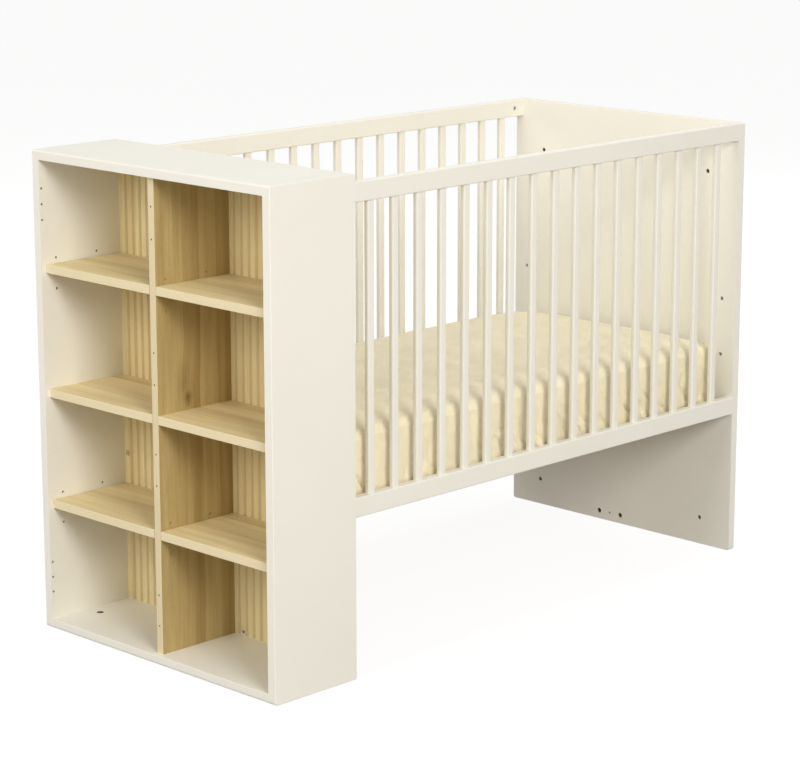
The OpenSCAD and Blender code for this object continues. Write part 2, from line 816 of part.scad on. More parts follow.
function corner_arc(cx, cy, r, a0) =
    [for (j = [0:arc_steps]) let (a = a0 + 90 * j / arc_steps) [cx + r * cos(a), cy + r * sin(a)]];

function straight(a, b, n, bow) =
    [for (j = [1:n - 1]) let (t = j / n, m = a + t * (b - a)) m + bow * sin(180 * t)];

function outline(inset, draw) = let (
        a = mattress_l / 2 - inset,
        b = mattress_w / 2 - inset,
        r = max(mattress_corner_r - inset, mattress_corner_r * 0.35),
        q = [corner_arc(a - r, b - r, r, 0), corner_arc(r - a, b - r, r, 90),
             corner_arc(r - a, r - b, r, 180), corner_arc(a - r, r - b, r, 270)],
        bow = [[0, -draw], [draw, 0], [0, draw], [-draw, 0]],
        steps = [long_steps, short_steps, long_steps, short_steps])
    [for (i = [0:3]) each concat(q[i], straight(q[i][arc_steps], q[(i + 1) % 4][0], steps[i], bow[i]))];

// Rings from the bottom's edge to the crown: [inset, share of the draw, height]
edge_low = 6;
edge_soft = 14;
crown_reach = 0.42;     // how far the crown's rings go in, as a share of the width
mattress_rings = concat(
    [[edge_low, 0, 0]],
    [for (a = [30, 60, 90]) [edge_low * (1 - sin(a)), a / 90, edge_low * (1 - cos(a))]],
    [[0, 1.6, mattress_h / 2]],
    [for (a = [0, 30, 60]) [edge_soft * (1 - cos(a)), 1, mattress_h - edge_soft * (1 - sin(a))]],
    [for (k = [0:3]) let (t = k / 4) [edge_soft + t * mattress_w * crown_reach, 1 - t,
        mattress_h + mattress_crown * (1 - pow(1 - t, 2))]]);

module mattress() {
    rings = [for (r = mattress_rings) [for (p = outline(r[0], mattress_draw * r[1])) [p.x, p.y, r[2]]]];
    n = len(rings[0]);
    m = len(rings);
    low = [0, 0, 0];
    high = [0, 0, mattress_h + mattress_crown];
    points = concat([for (r = rings) each r], [low, high]);
    walls = [for (i = [0:m - 2], j = [0:n - 1]) let (k = (j + 1) % n)
        each [[i * n + j, (i + 1) * n + k, i * n + k], [i * n + j, (i + 1) * n + j, (i + 1) * n + k]]];
    caps = [for (j = [0:n - 1]) let (k = (j + 1) % n)
        each [[m * n, j, k], [m * n + 1, (m - 1) * n + k, (m - 1) * n + j]]];
    color("moccasin") translate([(x_head + x_foot) / 2, 0, base_top + seat_gap])
        polyhedron(points, concat(walls, caps), convexity = 4);
}

near_side_panel();
far_side_panel();
changer_top();
bottom_board();
divider();
reeded_back();
fixed_shelf_near();
fixed_shelf_far();
upper_shelf_near();
upper_shelf_far();
lower_shelf_near();
lower_shelf_far();
shelf_pins();
cam_locks();
cam_bolts();
carcass_dowels();
back_screws();
end_panel();
front_top_rail();
front_bottom_rail();
rear_top_rail();
rear_bottom_rail();
for (k = [1:slat_n]) front_slat(k);
rear_slats();
rail_bolts();
barrel_nuts();
rail_dowels();
threaded_inserts();
base_brackets();
bracket_bolts();
base_head_rail();
base_foot_rail();
base_near_rail();
base_far_rail();
base_slats();
base_screws();
mattress();
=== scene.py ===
"""The looks of the crib with its attached changer.

It sets up the camera, the lights and the floor, gives every built piece its material, and puts the mattress in a
fitted sheet.
"""

import json
import math

import bpy
import numpy as np
from mathutils import Matrix, Vector
from mathutils.bvhtree import BVHTree


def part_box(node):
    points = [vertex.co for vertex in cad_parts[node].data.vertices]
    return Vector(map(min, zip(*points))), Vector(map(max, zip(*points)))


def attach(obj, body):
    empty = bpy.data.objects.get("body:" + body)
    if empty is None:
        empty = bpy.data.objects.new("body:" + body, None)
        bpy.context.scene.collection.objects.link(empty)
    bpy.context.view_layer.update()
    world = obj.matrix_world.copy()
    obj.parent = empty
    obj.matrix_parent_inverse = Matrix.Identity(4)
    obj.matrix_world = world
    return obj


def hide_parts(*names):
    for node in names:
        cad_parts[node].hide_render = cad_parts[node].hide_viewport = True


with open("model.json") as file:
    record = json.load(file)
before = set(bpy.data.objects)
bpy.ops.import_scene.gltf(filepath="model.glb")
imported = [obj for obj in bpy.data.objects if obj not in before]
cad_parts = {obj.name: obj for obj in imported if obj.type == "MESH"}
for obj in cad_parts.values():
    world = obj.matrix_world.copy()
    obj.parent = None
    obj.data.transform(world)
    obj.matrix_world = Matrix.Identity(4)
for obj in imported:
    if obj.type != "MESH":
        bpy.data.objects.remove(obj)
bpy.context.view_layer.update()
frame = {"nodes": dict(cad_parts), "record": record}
NODES = frame["nodes"]

# The photograph's frame, in pixels, and its camera in the part's own frame, in metres and degrees.
PHOTO_W, PHOTO_H = 800, 765
CAMERA_PLACE = (-3.97687, -3.88041, 1.74119)
CAMERA_YAW, CAMERA_PITCH, CAMERA_ROLL = 44.4726, 12.6733, -0.0495
SENSOR_W = 36.0
FOCAL_PX = 2657.74
AXIS_PX = (401.51, 366.91)

# Each lamp's place, the point that it faces, its width in metres and its watts.
LAMPS = {
    "key": ((-5.0, 0.0, 2.9), (0.0, 0.0, 0.5), 2.2, 87),
    "fill": ((-2.8, -5.7, 3.5), (0.1, 0.0, 0.5), 2.1, 258),
    "overhead": ((0.5, 0.0, 2.0), (0.4, 0.0, 0.4), 1.0, 2.4),
    "back": ((5.8, 0.6, 2.2), (0.0, 0.0, 0.5), 2.4, 75),
    "far": ((-0.4, 5.8, 2.2), (0.0, 0.0, 0.5), 2.4, 75),
}
LAMP_TINT = (1.0, 0.985, 0.955)

# The light from all round, and the floor: half its width, its glow to the camera, the faint grey that takes the
# shadow, and the grey that it throws back on the object.
WHITE = (1.0, 1.0, 1.0, 1.0)
SOFT_TINT = (1.0, 0.995, 0.97, 1.0)
SOFT_STRENGTH = 0.475
FLOOR_HALF = 14.0
FLOOR_GLOW = 0.86
FLOOR_SHADOW = (0.2, 0.2, 0.2, 1.0)
FLOOR_BOUNCE = (0.44, 0.42, 0.4, 1.0)

# Colours, as they look on a screen (0-255).
CREAM = (240, 237, 226)
RAW_BOARD = (128, 104, 76)
OAK_LIGHT = (206, 186, 133)
OAK_DARK = (167, 141, 89)
REED_LIGHT = (251, 238, 191)
REED_DARK = (227, 207, 156)
# painted shade for the reeded back's grooves
PAINTED_GROOVE_SHADE = (168, 138, 88)
SHELF_LIGHT = (250, 235, 190)
SHELF_DARK = (217, 195, 145)
OAK_EDGE = (229, 214, 178)
OAK_KNOT = (114, 84, 48)
PINE_LIGHT = (232, 208, 164)
PINE_DARK = (204, 168, 114)
BEECH_LIGHT = (222, 190, 146)
BEECH_DARK = (196, 158, 112)
ZINC = (196, 198, 202)
INSERT_ZINC = (226, 223, 214)
BOLT_NICKEL = (226, 208, 164)
CAM_GREY = (128, 124, 118)
BRONZED = (60, 47, 36)
COTTON = (251, 241, 210)

# Materials, in metres where it is a length.
AXES = "XYZ"
NOISE_LOW, NOISE_HIGH = 0.3, 0.7  # most of a noise texture's values lie between these
GRAIN_BEND = 0.022
PLANK_OFFSET = 7.0  # moves the grain along each plank by a share of this, so that no two look alike
PLANK_TONE, BROAD_TONE, STREAK_TONE, PORE_TONE = 0.38, 0.42, 0.26, 0.35  # how much darker each makes the wood
KNOT_PLACE = (-0.634, -0.009, 0.534)
SMEAR_SHIFT = (-0.010, 0.0, 0.030)  # from the knot's centre to that of the brown smear beside it
RING_WAVES, RING_TONE = 520.0, 0.2  # the rings' radians for each metre from the knot, and their strength
THREAD_PITCH = 0.0011
PAINT_BUMP, WOOD_BUMP, METAL_BUMP, COTTON_BUMP = 0.00012, 0.00025, 0.00005, 0.0003

# Ramps: from, to, the value at from and the value at to.
BOARD_CORE = (0.0024, 0.003, 0.0, 1.0)  # depth in a board at which its raw core shows
# painted shade: the reeded back's half towards -Y is darkened
PAINTED_SHADE_HALF = (-0.03, 0.03, 0.5, 0.0)
# painted shade in the grooves, growing with depth below the reeded face
GROOVE_SHADE_DEPTH = (0.0004, 0.0026, 0.0, 0.42)
FRONT_FACING = (-0.75, -0.6, 1.0, 0.0)
KNOT_BULGE = (0.0, 0.05, 0.55, 0.0)
KNOT_CORE = (0.007, 0.019, 0.85, 0.0)
KNOT_SMEAR = (0.004, 0.030, 0.42, 0.0)
RING_FADE = (0.014, 0.05, 1.0, 0.0)

# The mattress in its sheet, in metres where it is a length.
CORNER_R = 0.044
WELD_GAP = 0.00005
SHEET_VOXEL = 0.006
SHEET_SHRINK = 0.004  # how much smaller the form is before it swells
SWELL_FRAMES = 20
SWELL_QUALITY = 4
SWELL_PRESSURE = 4.0
SWELL_GROWTH = 0.012  # the share by which the cloth's own lengths grow
SWELL_CAP = 0.007
SIDE_CLEARANCE, FLOOR_CLEARANCE = 0.0008, 0.0002
FILL_SHARE = 0.85  # how far the swollen form is drawn to the solid's surface
SIDE_FADE = 1.5
NEXT_SIDE = 3.0  # sets the pattern on the short sides apart from that on the long ones
PLEAT_DEPTH, PLEAT_SPACING, PLEAT_DRIFT = 0.0050, 0.066, 3.6
DRAW_DEPTH, DRAW_SPACING, DRAW_DRIFT, DRAW_SLANT = 0.0095, 0.043, 3.0, 0.7
FINE_DEPTH = 0.0010
TOP_DEPTH = 0.0016
DROOP_DEPTH, DROOP_REACH = 0.013, 0.16
EDGE_GAP = 0.0012  # how far from the solid's edge the sheet may lie where it is tight
HEM_GAP, HEM_HEIGHT = 0.005, 0.0012  # how much further at the very bottom, and how soon that fades
TIGHT_HEIGHT, LOOSENING_HEIGHT, LOOSE_GAP = 0.009, 0.016, 0.03
TIGHT_REACH, TIGHT_FADE = 0.030, 0.012  # points further in than the reach belong to the underside and stay
SEAM_RADIUS, SEAM_SIDES, SEAM_STEPS = 0.0009, 8, 24
SEAM_FOOT, SEAM_SHORTER = 0.006, 0.040  # where a seam starts, and how much shorter it is than the side is high
SEAM_CAST = 0.2


# ---------------------------------------------------------------- camera, lights and floor
def make_camera():
    """The photograph's viewpoint. The shift puts the optical axis where the photograph has it."""
    yaw, pitch = math.radians(CAMERA_YAW), math.radians(CAMERA_PITCH)
    ahead = Vector((math.cos(yaw) * math.cos(pitch), math.sin(yaw) * math.cos(pitch), -math.sin(pitch)))
    right = ahead.cross(Vector((0, 0, 1))).normalized()
    up = right.cross(ahead)
    turn = Matrix((right, up, -ahead)).transposed() @ Matrix.Rotation(math.radians(CAMERA_ROLL), 3, "Z")
    data = bpy.data.cameras.new("camera")
    data.sensor_width = SENSOR_W
    data.lens = FOCAL_PX * SENSOR_W / PHOTO_W
    data.shift_x = (PHOTO_W / 2 - AXIS_PX[0]) / PHOTO_W
    data.shift_y = (AXIS_PX[1] - PHOTO_H / 2) / PHOTO_W
    camera = bpy.data.objects.new("camera", data)
    camera.matrix_world = Matrix.Translation(CAMERA_PLACE) @ turn.to_4x4()
    bpy.context.collection.objects.link(camera)
    bpy.context.scene.camera = camera


def make_lights():
    """Square soft lamps."""
    for name, (place, aim, size, watts) in LAMPS.items():
        data = bpy.data.lights.new(name, "AREA")
        data.size = size
        data.energy = watts
        data.color = LAMP_TINT
        light = bpy.data.objects.new(name, data)
        light.location = place
        light.rotation_euler = (Vector(aim) - Vector(place)).to_track_quat("-Z", "Y").to_euler()
        bpy.context.collection.objects.link(light)


def make_world():
    """White to the camera and in reflections, and a soft even light on everything."""
    world = bpy.data.worlds.new("studio")
    bpy.context.scene.world = world
    world.use_nodes = True
    tree = world.node_tree
    tree.nodes.clear()
    seen = seen_ray(tree)
    white = add(tree, "ShaderNodeBackground", {"Color": WHITE, "Strength": 1.0})
    soft = add(tree, "ShaderNodeBackground", {"Color": SOFT_TINT, "Strength": SOFT_STRENGTH})
    both = add(tree, "ShaderNodeMixShader", {0: seen, 1: soft.outputs[0], 2: white.outputs[0]})
    add(tree, "ShaderNodeOutputWorld", {"Surface": both.outputs[0]})


def make_floor():
    """A wide pale floor that shows white and keeps a faint shadow."""
    corners = [(x * FLOOR_HALF, y * FLOOR_HALF, 0) for x, y in ((-1, -1), (1, -1), (1, 1), (-1, 1))]
    mesh = bpy.data.meshes.new("floor")
    mesh.from_pydata(corners, [], [(0, 1, 2, 3)])
    floor = bpy.data.objects.new("floor", mesh)
    bpy.context.collection.objects.link(floor)
    material, tree = blank_material("floor_pale")
    seen = seen_ray(tree)
    glow = add(tree, "ShaderNodeEmission", {"Color": WHITE, "Strength": FLOOR_GLOW})
    faint = add(tree, "ShaderNodeBsdfDiffuse", {"Color": FLOOR_SHADOW})
    shown = add(tree, "ShaderNodeAddShader", {0: glow.outputs[0], 1: faint.outputs[0]})
    bounce = add(tree, "ShaderNodeBsdfDiffuse", {"Color": FLOOR_BOUNCE})
    both = add(tree, "ShaderNodeMixShader", {0: seen, 1: bounce.outputs[0], 2: shown.outputs[0]})
    add(tree, "ShaderNodeOutputMaterial", {"Surface": both.outputs[0]})
    mesh.materials.append(material)


# ---------------------------------------------------------------- small helpers for materials
def linear(rgb, shade=1.0):
    """Screen colour (0-255), darkened by shade, to Blender's linear colour with alpha."""
    def one(c):
        c = c * shade / 255
        return c / 12.92 if c <= 0.04045 else ((c + 0.055) / 1.055) ** 2.4
    return (*map(one, rgb), 1.0)


def add(tree, kind, inputs=None, **settings):
    """One node, its settings and its inputs, each a plain value or another node's output."""
    made = tree.nodes.new(kind)
    for key, value in settings.items():
        setattr(made, key, value)
    for key, value in (inputs or {}).items():
        if isinstance(value, bpy.types.NodeSocket):
            tree.links.new(value, made.inputs[key])
        else:
            made.inputs[key].default_value = value
    return made


def blank_material(name):
    material = bpy.data.materials.new(name)
    material.use_nodes = True
    material.node_tree.nodes.clear()
    return material, material.node_tree


def seen_ray(tree):
    """1 for rays from the camera, reflections and see-through pieces, 0 for light that falls on the object."""
    path = add(tree, "ShaderNodeLightPath")
    either = maths(tree, "MAXIMUM", path.outputs["Is Camera Ray"], path.outputs["Is Glossy Ray"])
    return maths(tree, "MAXIMUM", either, path.outputs["Is Transmission Ray"])


def maths(tree, operation, a, b=0.0):
    return add(tree, "ShaderNodeMath", {0: a, 1: b}, operation=operation).outputs[0]


def mix_colour(tree, share, a, b, kind="MIX"):
    made = add(tree, "ShaderNodeMix", {0: share, 6: a, 7: b}, data_type="RGBA", blend_type=kind)
    return made.outputs[2]


def noise(tree, vector, scale, detail=2.0, rough=0.5):
    inputs = {"Vector": vector, "Scale": scale, "Detail": detail, "Roughness": rough}
    return add(tree, "ShaderNodeTexNoise", inputs).outputs[0]


def span(tree, value, low, high, out_low=0.0, out_high=1.0):
    """value from low..high to out_low..out_high, held at the ends."""
    inputs = {"Value": value, "From Min": low, "From Max": high, "To Min": out_low, "To Max": out_high}
    return add(tree, "ShaderNodeMapRange", inputs).outputs[0]


def vector(tree, x, y, z):
    return add(tree, "ShaderNodeCombineXYZ", {0: x, 1: y, 2: z}).outputs[0]


def object_place(tree):
    """The place on the piece, in metres, as one vector and as its three coordinates."""
    place = add(tree, "ShaderNodeTexCoord").outputs["Object"]
    return place, add(tree, "ShaderNodeSeparateXYZ", {0: place}).outputs


def surface(tree, colour, roughness, height, distance, **sockets):
    """The shader itself, with height as bumps of up to distance metres.

    sockets are numbers set on the shader, such as Metallic or Sheen Weight.
    """
    normal = add(tree, "ShaderNodeBump", {"Height": height, "Distance": distance}).outputs[0]
    inputs = {"Base Color": colour, "Roughness": roughness, "Normal": normal}
    inputs.update({key.replace("_", " "): value for key, value in sockets.items()})
    shader = add(tree, "ShaderNodeBsdfPrincipled", inputs)
    add(tree, "ShaderNodeOutputMaterial", {"Surface": shader.outputs[0]})


# ---------------------------------------------------------------- materials
def lacquer(name, rgb, board=None):
    """Satin paint: an even colour, faint clouds and a very fine orange peel.

    board is the box of a board whose drilled holes show its raw core.
    """
    material, tree = blank_material(name)
    place, axes = object_place(tree)
    clouds = noise(tree, place, scale=5.0, detail=3.0)
    tone = span(tree, clouds, NOISE_LOW, NOISE_HIGH, 0.975, 1.0)
    colour = mix_colour(tree, 1.0, linear(rgb), vector(tree, tone, tone, tone), "MULTIPLY")
    if board:
        colour = mix_colour(tree, core_share(tree, axes, *board), colour, linear(RAW_BOARD))
    peel = noise(tree, place, scale=420.0)
    brushed = noise(tree, place, scale=38.0, detail=3.0)
    height = maths(tree, "ADD", peel, maths(tree, "MULTIPLY", brushed, 0.6))
    rough = span(tree, brushed, NOISE_LOW, NOISE_HIGH, 0.36, 0.46)
    surface(tree, colour, rough, height, PAINT_BUMP, Specular_IOR_Level=0.45)
    return material


def core_share(tree, axes, lo, hi):
    """1 for points inside the board from lo to hi, which are the walls of its holes, and 0 on its faces."""
    depth = None
    for axis, low, high in zip(axes, lo, hi):
        nearest = maths(tree, "MINIMUM", maths(tree, "SUBTRACT", axis, low), maths(tree, "SUBTRACT", high, axis))
        depth = nearest if depth is None else maths(tree, "MINIMUM", depth, nearest)
    return span(tree, depth, *BOARD_CORE)


def wood(name, along, across, light, dark, plank=0.05, figure=1.0, edge=None, knot=None, reeds=None):
    """Wood with its grain along one axis.

    edge is the colour of the faces that look to -X, knot a knot's centre, and reeds the X of a reeded face, whose
    grooves get painted shade that deepens with their depth and whose half towards -Y gets painted shade.
    """
    material, tree = blank_material(name)
    place, axes = object_place(tree)
    third = next(a for a in AXES if a not in (along, across))
    grain, width, depth = (axes[AXES.index(a)] for a in (along, across, third))
    bend = maths(tree, "SUBTRACT", noise(tree, vector(tree, grain, width, depth), scale=2.6), 0.5)
    if knot:
        bend = maths(tree, "ADD", bend, knot_bulge(tree, place, knot))
    width = maths(tree, "ADD", width, maths(tree, "MULTIPLY", bend, GRAIN_BEND))
    strips = add(tree, "ShaderNodeTexVoronoi", {"W": width, "Scale": 1 / plank}, voronoi_dimensions="1D")
    chance = add(tree, "ShaderNodeSeparateColor", {0: strips.outputs["Color"]}).outputs[0]
    grain = maths(tree, "ADD", grain, maths(tree, "MULTIPLY", chance, PLANK_OFFSET))

    def stretched(long_scale, wide_scale, detail):
        scaled = ((grain, long_scale), (width, wide_scale), (depth, wide_scale))
        lengths = [maths(tree, "MULTIPLY", value, scale) for value, scale in scaled]
        return noise(tree, vector(tree, *lengths), scale=1.0, detail=detail, rough=0.55)

    broad = stretched(long_scale=2.2, wide_scale=46.0, detail=3.0)
    streak = stretched(long_scale=5.0, wide_scale=210.0, detail=4.0)
    pores = stretched(long_scale=70.0, wide_scale=1500.0, detail=1.0)
    tone = maths(tree, "MULTIPLY", chance, PLANK_TONE * figure)
    tone = maths(tree, "ADD", tone, span(tree, broad, NOISE_LOW, NOISE_HIGH, 0.0, BROAD_TONE * figure))
    tone = maths(tree, "ADD", tone, span(tree, streak, 0.25, 0.75, 0.0, STREAK_TONE))
    colour = mix_colour(tree, maths(tree, "MINIMUM", tone, 1.0), linear(light), linear(dark))
    pore_share = span(tree, pores, 0.60, 0.72, 0.0, PORE_TONE)
    colour = mix_colour(tree, pore_share, colour, linear(dark, shade=0.74))
    if knot:
        colour = mix_colour(tree, knot_share(tree, place, knot), colour, linear(OAK_KNOT))
    if reeds:
        # painted shade on the half of the reeded back towards -Y
        colour = mix_colour(tree, span(tree, axes[1], *PAINTED_SHADE_HALF), colour, linear(dark))
        # painted shade in the grooves, deeper where the groove is deeper
        groove_shade = span(tree, maths(tree, "SUBTRACT", axes[0], reeds), *GROOVE_SHADE_DEPTH)
        colour = mix_colour(tree, groove_shade, colour, linear(PAINTED_GROOVE_SHADE))
    if edge:
        normal = add(tree, "ShaderNodeTexCoord").outputs["Normal"]
        facing = add(tree, "ShaderNodeSeparateXYZ", {0: normal}).outputs[0]
        banded = mix_colour(tree, span(tree, streak, 0.2, 0.8, 0.0, 0.35), linear(edge), linear(light))
        colour = mix_colour(tree, span(tree, facing, *FRONT_FACING), colour, banded)
    height = maths(tree, "SUBTRACT", maths(tree, "MULTIPLY", streak, 0.5), pore_share)
    rough = span(tree, streak, NOISE_LOW, NOISE_HIGH, 0.46, 0.58)
    surface(tree, colour, rough, height, WOOD_BUMP, Specular_IOR_Level=0.35)
    return material


def from_knot(tree, place, centre, stretch):
    """Distance from a knot's centre, with each axis scaled by stretch."""
    offset = add(tree, "ShaderNodeVectorMath", {0: place, 1: centre}, operation="SUBTRACT").outputs[0]
    scaled = add(tree, "ShaderNodeVectorMath", {0: offset, 1: stretch}, operation="MULTIPLY").outputs[0]
    return add(tree, "ShaderNodeVectorMath", {0: scaled}, operation="LENGTH").outputs["Value"]


def knot_bulge(tree, place, centre):
    """Bends the grain round a knot."""
    return span(tree, from_knot(tree, place, centre, (1.0, 0.0, 0.45)), *KNOT_BULGE)


def knot_share(tree, place, centre):
    """How far a point belongs to a small knot, to the brown smear beside it or to the rings round it."""
    ragged = maths(tree, "MULTIPLY", noise(tree, place, scale=130.0, detail=3.0), 0.009)
    away = maths(tree, "ADD", from_knot(tree, place, centre, (1.15, 0.0, 0.66)), ragged)
    core = span(tree, away, *KNOT_CORE)
    smear_centre = tuple(c + shift for c, shift in zip(centre, SMEAR_SHIFT))
    smear_away = maths(tree, "ADD", from_knot(tree, place, smear_centre, (1.0, 0.0, 0.42)), ragged)
    smear = span(tree, smear_away, *KNOT_SMEAR)
    rings = maths(tree, "SINE", maths(tree, "MULTIPLY", away, RING_WAVES))
    ring_share = span(tree, rings, 0.2, 1.0, 0.0, RING_TONE)
    ringed = maths(tree, "MULTIPLY", ring_share, span(tree, away, *RING_FADE))
    return maths(tree, "MAXIMUM", maths(tree, "MAXIMUM", core, smear), ringed)


def metal(name, rgb, rough_low, rough_high, metallic=1.0):
    """Plated or bronzed steel: slightly mottled, with a fine rolled surface."""
    material, tree = blank_material(name)
    place, _ = object_place(tree)
    mottle = noise(tree, place, scale=180.0, detail=3.0)
    fine = noise(tree, place, scale=2600.0)
    colour = mix_colour(tree, span(tree, mottle, 0.35, 0.65), linear(rgb), linear(rgb, shade=0.8))
    rough = span(tree, mottle, NOISE_LOW, NOISE_HIGH, rough_low, rough_high)
    surface(tree, colour, rough, fine, METAL_BUMP, Metallic=metallic)
    return material


def cotton(name, rgb):
    """Plain woven cotton: two crossing threads on every face, slubs, and a soft uneven colour."""
    material, tree = blank_material(name)
    place, axes = object_place(tree)
    turns = [maths(tree, "MULTIPLY", axis, math.pi / THREAD_PITCH) for axis in axes]
    waves = [maths(tree, "ABSOLUTE", maths(tree, "SINE", turn)) for turn in turns]
    weave = maths(tree, "MULTIPLY", maths(tree, "MULTIPLY", waves[0], waves[1]), waves[2])
    slub = noise(tree, place, scale=240.0, detail=3.0, rough=0.6)
    clouds = noise(tree, place, scale=7.0, detail=3.0)
    cloud_share = span(tree, clouds, NOISE_LOW, NOISE_HIGH)
    colour = mix_colour(tree, cloud_share, linear(rgb), linear(rgb, shade=0.965))
    colour = mix_colour(tree, span(tree, slub, 0.5, 0.75, 0.0, 0.25), colour, linear(rgb, shade=0.93))
    height = maths(tree, "ADD", maths(tree, "MULTIPLY", weave, 0.7), slub)
    rough = span(tree, slub, NOISE_LOW, NOISE_HIGH, 0.82, 0.92)
    surface(tree, colour, rough, height, COTTON_BUMP, Sheen_Weight=0.15, Sheen_Roughness=0.5,
            Specular_IOR_Level=0.2)
    return material


def finish_nodes():
    """Gives every CAD node its finish, and returns the sheet's. Wood follows each piece's grain."""
    boards = ("near_side_panel", "far_side_panel", "changer_top", "bottom_board", "end_panel")
    shelf = wood("oak_shelf", "Y", "X", SHELF_LIGHT, SHELF_DARK, figure=1.25, edge=OAK_EDGE)
    pine_along = wood("pine_along", "X", "Z", PINE_LIGHT, PINE_DARK, plank=0.2, figure=1.4)
    pine_across = wood("pine_across", "Y", "X", PINE_LIGHT, PINE_DARK, plank=0.0975, figure=1.4)
    by_slot = {
        "cream_lacquer": lacquer("cream_satin", CREAM),
        "oak": shelf,
        "zinc_steel": metal("zinc_plate", ZINC, 0.28, 0.42),
        "cam_zinc": metal("cam_cast", CAM_GREY, 0.42, 0.58),
        "dark_steel": metal("bronzed_steel", BRONZED, 0.4, 0.52, metallic=0.6),
        "sheet_cotton": cotton("sheet_cotton_weave", COTTON),
    }
    by_name = {name: lacquer("cream_" + name, CREAM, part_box(name)) for name in boards}
    by_name |= {
        "threaded_inserts": metal("insert_zinc", INSERT_ZINC, 0.5, 0.62, metallic=0.35),
        "rail_bolts": metal("bolt_nickel", BOLT_NICKEL, 0.42, 0.55, metallic=0.4),
        "divider": wood("oak_divider", "Z", "X", OAK_LIGHT, OAK_DARK, figure=1.3, edge=OAK_EDGE, knot=KNOT_PLACE),
        "reeded_back": wood("oak_back", "Z", "Y", REED_LIGHT, REED_DARK, plank=0.044, figure=1.3,
                            reeds=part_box("reeded_back")[0][0]),
        "carcass_dowels": wood("beech_across", "Y", "X", BEECH_LIGHT, BEECH_DARK, plank=0.02),
        "rail_dowels": wood("beech_along", "X", "Y", BEECH_LIGHT, BEECH_DARK, plank=0.02),
        "base_near_rail": pine_along,
        "base_far_rail": pine_along,
        "base_head_rail": pine_across,
        "base_foot_rail": pine_across,
        "base_slats": pine_across,
    }
    slots = {part["node"]: part["material_slot"] for part in frame["record"]["subparts"]}
    for name, node in NODES.items():
        finish = by_name.get(name) or by_slot[slots[name]]
        node.data.materials.clear()
        node.data.materials.append(finish)
    return by_slot["sheet_cotton"]


# ---------------------------------------------------------------- small helpers for meshes
def apply_modifiers(obj):
    graph = bpy.context.evaluated_depsgraph_get()
    mesh = bpy.data.meshes.new_from_object(obj.evaluated_get(graph))
    obj.modifiers.clear()
    obj.data = mesh


def coordinates(mesh):
    flat = np.empty(len(mesh.vertices) * 3)
    mesh.vertices.foreach_get("co", flat)
    return flat.reshape(-1, 3)


def set_coordinates(mesh, points):
    mesh.vertices.foreach_set("co", np.asarray(points, float).ravel())
    mesh.update()


def vertex_normals(mesh):
    flat = np.empty(len(mesh.vertices) * 3)
    mesh.vertex_normals.foreach_get("vector", flat)
    return flat.reshape(-1, 3)


def tube(name, path, radius, sides):
    """A closed round tube along a path that runs mostly upwards."""
    rows = []
    for index, point in enumerate(path):
        ahead = (path[min(index + 1, len(path) - 1)] - path[max(index - 1, 0)]).normalized()
        across = ahead.cross(Vector((0, 1, 0))).normalized()
        third = ahead.cross(across)
        turns = [2 * math.pi * k / sides for k in range(sides)]
        rows.append([point + (across * math.cos(t) + third * math.sin(t)) * radius for t in turns])
    verts = [p for row in rows for p in row]
    faces = [
        (r * sides + k, r * sides + (k + 1) % sides, (r + 1) * sides + (k + 1) % sides, (r + 1) * sides + k)
        for r in range(len(rows) - 1)
        for k in range(sides)
    ]
    faces.append(tuple(reversed(range(sides))))
    faces.append(tuple((len(rows) - 1) * sides + k for k in range(sides)))
    mesh = bpy.data.meshes.new(name)
    mesh.from_pydata(verts, [], faces)
    mesh.shade_smooth()
    obj = bpy.data.objects.new(name, mesh)
    bpy.context.collection.objects.link(obj)
    return obj


# ---------------------------------------------------------------- the mattress in its fitted sheet
def loose_form(lo, hi):
    """A slightly smaller copy of the CAD solid, remeshed so that it can swell and fold."""
    mesh = NODES["mattress"].data.copy()
    piece = bpy.data.objects.new("fitted_sheet_mattress", mesh)
    bpy.context.collection.objects.link(piece)
    centre = (Vector(lo) + Vector(hi)) / 2
    size = Vector(hi) - Vector(lo)
    points = coordinates(mesh)
    shrink = np.array([1 - 2 * SHEET_SHRINK / s for s in size])
    set_coordinates(mesh, (points - np.array(centre)) * shrink + np.array(centre))
    weld = piece.modifiers.new("weld", "WELD")
    weld.merge_threshold = WELD_GAP
    remesh = piece.modifiers.new("remesh", "REMESH")
    remesh.mode = "VOXEL"
    remesh.voxel_size = SHEET_VOXEL
    apply_modifiers(piece)
    return piece


def puff(piece, floor_z):
    """Swells the cloth a little under pressure, then caps how far each point may have gone."""
    start = coordinates(piece.data)
    cloth = piece.modifiers.new("cloth", "CLOTH")
    settings = cloth.settings
    settings.use_pressure = True
    settings.uniform_pressure_force = SWELL_PRESSURE
    settings.effector_weights.gravity = 0.0
    settings.shrink_min = -SWELL_GROWTH
    settings.quality = SWELL_QUALITY
    scene = bpy.context.scene
    for step in range(1, SWELL_FRAMES + 1):
        scene.frame_set(step)
    apply_modifiers(piece)
    scene.frame_set(1)
    moved = coordinates(piece.data) - start
    far = np.linalg.norm(moved, axis=1, keepdims=True)
    moved *= np.minimum(1.0, SWELL_CAP / np.maximum(far, 1e-9))
    points = start + moved
    points[:, 2] = np.maximum(points[:, 2], floor_z)
    set_coordinates(piece.data, points)


def settle(piece, lo, hi):
    """Stretches the swollen form to the CAD solid's box, and lets it lie flat on the base."""
    points = coordinates(piece.data)
    low, high = points.min(axis=0), points.max(axis=0)
    inner_lo = np.array(lo) + np.array((SIDE_CLEARANCE, SIDE_CLEARANCE, FLOOR_CLEARANCE))
    inner_hi = np.array(hi) - np.array((SIDE_CLEARANCE, SIDE_CLEARANCE, 0.0))
    points = inner_lo + (points - low) / (high - low) * (inner_hi - inner_lo)
    set_coordinates(piece.data, points)


